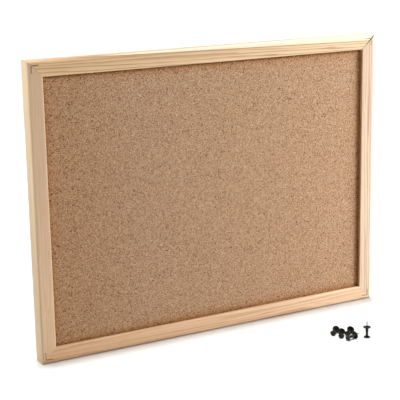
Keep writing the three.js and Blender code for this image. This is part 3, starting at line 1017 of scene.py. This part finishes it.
def build_panel():
    low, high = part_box("cork_sheet")
    points, faces = sheet_mesh(low, high, True, CORK_STEP, granule_relief(low, high))
    cork = mesh_piece("cork_face", points, faces, cork_surface())
    mark(cork, "edge", painted_shade_weight)
    mark(cork, "rim", rim_tint_and_painted_shade)
    install(cork, "cork_sheet", "board")
    low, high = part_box("backing_board")
    points, faces = sheet_mesh(low, high, False, BACKING_STEP, backing_relief(low, high))
    backing = mesh_piece("hardboard_back", points, faces, hardboard_surface())
    install(backing, "backing_board", "board")


# Hangers

def ring_axis(side):
    for joint in frame["joints"]:
        if joint["name"] == side + "_ring_swing":
            return Vector(joint["pos_m"])
    raise ValueError("no ring on the " + side)


def strap_path(rise):
    """The folded strip's middle line: down the front, round the wire and up again.

    Its points are (back from the ring's axis, up).
    """
    loop = WIRE_RADIUS + WIRE_PLAY + STRAP_SHEET / 2
    front = -loop
    back = front + STRAP_SHEET + STRAP_LAYER_GAP
    fold_y = back + STRAP_FOLD_ROUND
    fold_z = math.sqrt((loop + STRAP_FOLD_ROUND) ** 2 - fold_y ** 2)
    meet = math.degrees(math.atan2(fold_z, fold_y))
    path = [(front, rise)] + line((front, rise), (front, 0.0), STRAP_STEP)
    path += arc((0.0, 0.0), loop, 180, 360 + meet, 8 * ROUND_STEPS)
    path += arc((fold_y, fold_z), STRAP_FOLD_ROUND, meet + 180, 180, 2 * ROUND_STEPS)[1:]
    path += line((back, fold_z), (back, rise), STRAP_STEP) + [(back, rise)]
    return path


def strap_rings(axis, half_width, rise):
    path = np.array(strap_path(rise))
    half = STRAP_SHEET / 2
    rings = []
    for (y, z), (dy, dz) in zip(path, directions(path)):
        drop = min(STRAP_CORNER, rise - z)
        narrow = STRAP_CORNER - math.sqrt(STRAP_CORNER ** 2 - (STRAP_CORNER - drop) ** 2)
        width = half_width - min(narrow, half_width - half)
        edge = arc((width - half, 0.0), half, -90, 90, ROUND_STEPS)
        edge += [(-x, -offset) for x, offset in edge]
        rings.append([axis + Vector((x, y - dz * offset, z + dy * offset)) for x, offset in edge])
    return rings


def ring_path(low, high, axis):
    """The D ring's wire as (x, z) from its axis, from the seam in its straight side round to it."""
    half = (high.x - low.x) / 2 - WIRE_RADIUS
    drop = axis.z - low.z - WIRE_RADIUS
    side = drop - half
    straight = half - RING_CORNER
    right = line((RING_SEAM / 2, 0.0), (straight, 0.0), RING_STRAIGHT_STEP)
    right += arc((straight, -RING_CORNER), RING_CORNER, 90, 0, 2 * ROUND_STEPS)
    right += line((half, -RING_CORNER), (half, -side), RING_SIDE_STEP)
    right += arc((0.0, -side), half, 0, -90, 4 * ROUND_STEPS)
    left = [(-x, z) for x, z in reversed(right[:-1])]
    return [(RING_SEAM / 2, 0.0)] + right + left + [(-RING_SEAM / 2, 0.0)]


def ring_rings(node, axis):
    path = np.array(ring_path(*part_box(node), axis))
    rings = []
    last = len(path) - 1
    for i, ((x, z), (dx, dz)) in enumerate(zip(path, directions(path))):
        radius = WIRE_RADIUS - (WIRE_END_EASE if i in (0, last) else 0.0)
        ring = []
        for j in range(WIRE_SIDES):
            turn = 2 * math.pi * j / WIRE_SIDES
            off = radius * math.sin(turn)
            ring.append(axis + Vector((x - dz * off, radius * math.cos(turn), z + dx * off)))
        rings.append(ring)
    return rings


def screw_profile(head_radius, head_height, radius):
    """Screw along Z, head up, with the underside of its head at height 0."""
    dome = SCREW_HEAD_EDGE + SCREW_HEAD_ROUND
    crown = []
    for share in np.linspace(0.0, 1.0, 2 * ROUND_STEPS + 1)[:-1]:
        turn = share * math.pi / 2
        reach = head_radius - SCREW_HEAD_ROUND * (1 - math.cos(turn))
        height = dome + (head_height - dome) * math.sin(turn)
        crown.append((reach * math.sqrt(math.cos(turn)), height))
    shank = [(AXIS_RADIUS, -SCREW_LENGTH), (radius, SCREW_POINT - SCREW_LENGTH), (radius, 0.0)]
    rim = [
        (head_radius - SCREW_HEAD_ROUND, 0.0),
        (head_radius, SCREW_HEAD_ROUND),
        (head_radius, SCREW_HEAD_EDGE),
    ]
    return shank + rim + crown + [(AXIS_RADIUS, head_height)]


def recess_blade(turn, top, surface):
    """Half of a cross recess: a blade that narrows towards its foot."""
    levels = [(top + RECESS_DEPTH, 1.0), (top, 1.0), (top - RECESS_DEPTH, RECESS_TAPER)]
    rings = []
    for height, share in levels:
        x, y = RECESS_LENGTH / 2 * share, RECESS_WIDTH / 2 * share
        corners = [(x, y), (-x, y), (-x, -y), (x, -y)]
        rings.append([Matrix.Rotation(turn, 3, "Z") @ Vector((a, b, height)) for a, b in corners])
    return mesh_piece("recess", *loft(rings), surface)


def build_screw(side, zinc):
    node = "hanger_screw_" + side
    low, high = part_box(node)
    head_radius = (high.x - low.x) / 2
    head_height = high.y - low.y - SCREW_LENGTH
    profile = screw_profile(head_radius, head_height, SCREW_BORE - PANEL_PLAY)
    piece = mesh_piece("pan_screw_" + side, *turned(profile, SCREW_SIDES), zinc)
    cut(piece, [recess_blade(turn, head_height, zinc) for turn in (0.0, math.pi / 2)])
    middle = (low + high) / 2
    seat = Matrix.Translation((middle.x, high.y - head_height, middle.z))
    piece.data.transform(seat @ Matrix.Rotation(-math.pi / 2, 4, "X"))
    mark(piece, "worn", lambda point: SCREW_WORN if point.y > high.y - SCREW_WORN_REACH else 0.0)
    install(piece, node, "board")


def build_hangers(zinc):
    for side in ("left", "right"):
        axis = ring_axis(side)
        node = "hanger_strap_" + side
        low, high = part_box(node)
        points, faces = loft(strap_rings(axis, (high.x - low.x) / 2, high.z - axis.z))
        strap = mesh_piece("folded_strap_" + side, points, faces, zinc)
        cut(strap, [screw_bore("hanger_screw_" + side, zinc, low.y - CUT_MARGIN, axis.y)])
        mark(strap, "worn", lambda point: 1.0 if point.z < axis.z - WIRE_RADIUS else 0.0)
        install(strap, node, "board")

        node = "hanger_ring_" + side
        points, faces = loft(ring_rings(node, axis))
        ring = mesh_piece("d_ring_" + side, points, faces, zinc)
        low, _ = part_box(node)
        mark(ring, "worn", lambda point: max(0.0, 1.0 - (point.z - low.z) / (3 * WIRE_RADIUS)))
        install(ring, node, "ring_" + side)
        build_screw(side, zinc)


# Push pins

def curve(start, handle, end, steps):
    """Points of a flat quadratic curve after its start."""
    points = []
    for share in np.linspace(0.0, 1.0, steps + 1)[1:]:
        a, b, c = (1 - share) ** 2, 2 * share * (1 - share), share ** 2
        points.append(tuple(a * p + b * q + c * r for p, q, r in zip(start, handle, end)))
    return points


def grip_profile():
    """The grip from the middle of its cap to the bottom of the needle's seat, as (radius, height)."""
    flange = GRIP_LENGTH - FLANGE_THICKNESS
    top = GRIP_LENGTH + HUB_HEIGHT
    seat = GRIP_LENGTH - NEEDLE_SEAT
    bore = NEEDLE_RADIUS + NEEDLE_PLAY
    gate = GATE_DEPTH + CAP_DISH
    cap_face = CAP_RADIUS - CAP_EDGE
    flange_face = FLANGE_RADIUS - FLANGE_EDGE
    steps = ROUND_STEPS
    profile = [(AXIS_RADIUS, gate), (GATE_RADIUS * GATE_FOOT_SHARE, gate), (GATE_RADIUS, CAP_DISH)]
    profile += curve(profile[-1], (CAP_RADIUS * CAP_DISH_SHARE, CAP_DISH), (cap_face, 0.0), steps)
    profile += curve(profile[-1], (CAP_RADIUS, 0.0), (CAP_RADIUS, CAP_EDGE), steps)
    profile += [(CAP_RADIUS, CAP_THICKNESS - CAP_EDGE)]
    profile += curve(profile[-1], (CAP_RADIUS, CAP_THICKNESS), (cap_face, CAP_THICKNESS), steps)
    neck = (SHANK_CAP_RADIUS, CAP_THICKNESS + NECK_LENGTH)
    flare = (SHANK_FLANGE_RADIUS, flange - FLARE_LENGTH)
    profile += curve(profile[-1], (SHANK_CAP_RADIUS, CAP_THICKNESS), neck, 2 * steps)
    profile += line(neck, flare, SHANK_STEP) + [flare]
    profile += curve(flare, (SHANK_FLANGE_RADIUS, flange), (flange_face, flange), 2 * steps)
    profile += curve(profile[-1], (FLANGE_RADIUS, flange), (FLANGE_RADIUS, flange + FLANGE_EDGE), steps)
    profile += [(FLANGE_RADIUS, GRIP_LENGTH - FLANGE_EDGE)]
    profile += curve(profile[-1], (FLANGE_RADIUS, GRIP_LENGTH), (flange_face, GRIP_LENGTH), steps)
    profile += [(HUB_RADIUS, GRIP_LENGTH)]
    profile += curve(profile[-1], (HUB_RADIUS, top), (bore, top), steps)
    return profile + [(bore, seat), (AXIS_RADIUS, seat)]


def needle_profile():
    """The needle from its root in the grip to its point, as (radius, height)."""
    root = GRIP_LENGTH - NEEDLE_SEAT + NEEDLE_PLAY
    tip = GRIP_LENGTH + HUB_HEIGHT + NEEDLE_REACH
    shoulder = tip - NEEDLE_POINT
    handle = (NEEDLE_RADIUS, shoulder + NEEDLE_SHOULDER)
    end = (NEEDLE_TIP_RADIUS * 2, tip - NEEDLE_TIP_LENGTH)
    profile = [(AXIS_RADIUS, root), (NEEDLE_RADIUS, root), (NEEDLE_RADIUS, shoulder - NEEDLE_SHOULDER)]
    profile += curve(profile[-1], handle, end, NEEDLE_CURVE_STEPS)
    return profile + [(NEEDLE_TIP_RADIUS, tip - NEEDLE_TIP_ROUND), (NEEDLE_TIP_RADIUS / 2, tip)]


def node_points(node):
    return np.array([point.co for point in frame["nodes"][node].data.vertices])


def pin_place(number):
    """Turns a pin that stands on its cap at the origin to where its CAD nodes lie."""
    needle = node_points(f"push_pin_{number}_needle")
    grip = node_points(f"push_pin_{number}_grip")
    middle = (needle.min(axis=0) + needle.max(axis=0)) / 2
    direction = np.linalg.svd(needle - needle.mean(axis=0))[2][0]
    if (needle.mean(axis=0) - grip.mean(axis=0)) @ direction < 0:
        direction = -direction
    tip = needle[np.argmax((needle - middle) @ direction)]
    root = needle[((needle - tip) @ direction) < -NEEDLE_REACH - HUB_HEIGHT].mean(axis=0)
    direction = (tip - root) / np.linalg.norm(tip - root)
    cap = tip - direction * (GRIP_LENGTH + HUB_HEIGHT + NEEDLE_REACH)
    turn = Vector((0.0, 0.0, 1.0)).rotation_difference(Vector(direction))
    return Matrix.Translation(cap) @ turn.to_matrix().to_4x4()


def rim_weight(point):
    """Where a grip gets rubbed: the rims of its cap and flange."""
    radius = math.hypot(point.x, point.y)
    return clamp((radius - CAP_RADIUS + CAP_EDGE) / CAP_EDGE)


def build_pins():
    plastic = plastic_surface()
    bright = steel_surface("needle_steel")
    grip_shape = turned(grip_profile(), PIN_SIDES, PARTING_RIDGE)
    needle_shape = turned(needle_profile(), NEEDLE_SIDES)
    for number in range(1, PIN_COUNT + 1):
        place = pin_place(number)
        body = f"pin_{number}"
        grip = mesh_piece(f"pin_grip_{number}", *grip_shape, plastic)
        mark(grip, "worn", rim_weight)
        grip.data.transform(place)
        install(grip, f"push_pin_{number}_grip", body)
        needle = mesh_piece(f"pin_needle_{number}", *needle_shape, bright)
        needle.data.transform(place)
        install(needle, f"push_pin_{number}_needle", body)


# Stage

def build_floor():
    material, tree, shader = new_surface("white_floor")
    tone = mixed(tree, cloud(tree, object_place(tree), 3.0), srgb(*FLOOR), srgb(*FLOOR_PATCH))
    connect(tree, shader.inputs["Base Color"], tone)
    shader.inputs["Roughness"].default_value = 0.9
    shader.inputs["Specular IOR Level"].default_value = 0.1
    corners = [(x * FLOOR_REACH, y * FLOOR_REACH, 0.0) for x, y in ((-1, -1), (1, -1), (1, 1), (-1, 1))]
    mesh = bpy.data.meshes.new("floor")
    mesh.from_pydata(corners, [], [(0, 1, 2, 3)])
    mesh.materials.append(material)
    floor = new_object("floor", mesh)
    lit_floor.objects.link(floor)


def softbox(name, place, target, size, power, colour=(1.0, 1.0, 1.0)):
    """A rectangular lamp that the camera doesn't see."""
    light = bpy.data.lights.new(name, "AREA")
    light.shape = "RECTANGLE"
    light.size, light.size_y = size
    light.energy = power
    light.color = colour
    lamp = new_object(name, light)
    lamp.location = place
    lamp.rotation_euler = (Vector(target) - Vector(place)).to_track_quat("-Z", "Y").to_euler()
    lamp.visible_camera = False
    return lamp


def overhead(name, energy, spread, tilt=0.0, colour=(1.0, 1.0, 1.0)):
    """Light from above. Spread and tilt are in degrees."""
    light = bpy.data.lights.new(name, "SUN")
    light.energy = energy
    light.color = colour
    light.angle = math.radians(spread)
    lamp = new_object(name, light)
    lamp.rotation_euler = (math.radians(tilt), 0.0, 0.0)
    return lamp


def build_lights():
    overhead("overhead", energy=2.65, spread=5.4, tilt=-1.5)
    floor_light = overhead("floor_light", energy=0.86, spread=38.0, colour=(0.89, 1.0, 1.12))
    floor_light.light_linking.receiver_collection = lit_floor
    key = softbox("key", place=(0.95, -0.4, 0.56), target=(0.05, 0.0, 0.15), size=(0.5, 0.3), power=15.8)
    low = softbox(
        "low",
        place=(0.5, -0.25, 0.05),
        target=(0.1, 0.0, 0.05),
        size=(0.2, 0.06),
        power=0.7,
        colour=(1.0, 1.0, 0.99),
    )
    left_fill = softbox(
        "left_fill",
        place=(-0.55, 0.06, 0.5),
        target=(-0.2, 0.0, 0.27),
        size=(0.2, 0.15),
        power=2.3,
        colour=(0.9, 1.0, 1.0),
    )
    for lamp in (key, low, left_fill):
        lamp.light_linking.receiver_collection = lit_pieces
    softbox("rear", place=(0.35, 1.1, 0.7), target=(0.0, 0.0, 0.15), size=(0.8, 0.6), power=3.0)

    world = bpy.data.worlds.new("studio")
    world.use_nodes = True
    tree = world.node_tree
    background = tree.nodes["Background"]
    background.inputs["Color"].default_value = (1.0, 1.0, 1.0, 1.0)
    seen = add(tree, "ShaderNodeLightPath").outputs["Is Camera Ray"]
    connect(tree, background.inputs["Strength"], between(tree, seen, WORLD_LIGHT, 1.0))
    bpy.context.scene.world = world


def build_camera():
    data = bpy.data.cameras.new("photo_camera")
    data.sensor_width = SENSOR_WIDTH
    data.lens = PHOTO_FOCAL_PIXELS / PHOTO_PIXELS * SENSOR_WIDTH
    camera = new_object("photo_camera", data)
    turn = Matrix((CAMERA_RIGHT, -CAMERA_DOWN, -CAMERA_FORWARD)).transposed()
    camera.matrix_world = Matrix.Translation(CAMERA_PLACE) @ turn.to_4x4()
    bpy.context.scene.camera = camera


def main():
    build_camera()
    build_floor()
    build_lights()
    bpy.context.scene.view_settings.view_transform = "Standard"
    build_frame()
    build_nails(steel_surface("nail_steel"))
    build_panel()
    build_hangers(steel_surface("zinc_plate"))
    build_pins()


main()
